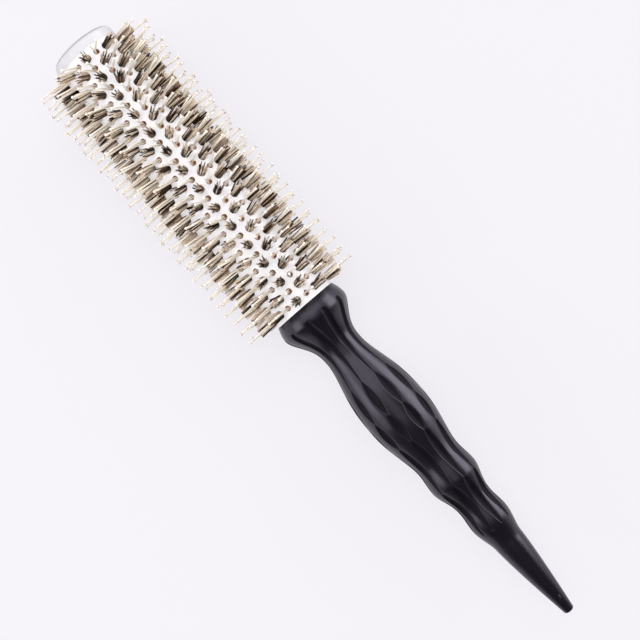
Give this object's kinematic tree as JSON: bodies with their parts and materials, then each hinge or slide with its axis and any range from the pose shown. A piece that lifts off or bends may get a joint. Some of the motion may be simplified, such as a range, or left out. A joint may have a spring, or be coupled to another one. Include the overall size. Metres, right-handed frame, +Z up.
{
  "type": "round barrel hair brush",
  "caption": "Round hair brush: perforated metal barrel with bristle tufts and ball-tipped pins all round, and a slim wave-fluted handle with a tapered tail.",
  "frame": {"origin": "centre of the end cap's flat outer face, on the brush axis", "axes": "+X along the brush axis from the end cap to the handle's tip, +Z up as the brush lies on its pins, +Y to the side"},
  "size_m": [0.2695, 0.0502, 0.0502],
  "materials": {
    "ceramic_coat": "fine matt ceramic coating",
    "core_plastic": "matt",
    "cap_silver": "satin silver",
    "handle_black": "satin gloss",
    "tang_steel": "drawn",
    "anchor_wire": "drawn wire",
    "bristle": "mixed dark and blond bristle",
    "nylon_pin": "translucent satin"
  },
  "bodies": {
    "root": {"barrel_sleeve": "ceramic_coat", "bristle_core": "core_plastic", "end_cap": "cap_silver", "handle": "handle_black", "tang": "tang_steel", "tuft_anchors": "anchor_wire", "tuft_row_01": "bristle", "tuft_row_02": "bristle", "tuft_row_03": "bristle", "tuft_row_04": "bristle", "tuft_row_05": "bristle", "tuft_row_06": "bristle", "tuft_row_07": "bristle", "tuft_row_08": "bristle", "tuft_row_09": "bristle", "tuft_row_10": "bristle", "tuft_row_11": "bristle", "tuft_row_12": "bristle", "tuft_row_13": "bristle", "tuft_row_14": "bristle", "tuft_row_15": "bristle", "tuft_row_16": "bristle", "tuft_row_17": "bristle", "tuft_row_18": "bristle", "pin_row_01": "nylon_pin", "pin_row_02": "nylon_pin", "pin_row_03": "nylon_pin", "pin_row_04": "nylon_pin", "pin_row_05": "nylon_pin", "pin_row_06": "nylon_pin", "pin_row_07": "nylon_pin", "pin_row_08": "nylon_pin", "pin_row_09": "nylon_pin", "pin_row_10": "nylon_pin", "pin_row_11": "nylon_pin", "pin_row_12": "nylon_pin", "pin_row_13": "nylon_pin", "pin_row_14": "nylon_pin", "pin_row_15": "nylon_pin", "pin_row_16": "nylon_pin", "pin_row_17": "nylon_pin", "pin_row_18": "nylon_pin"}
  },
  "joints": []
}
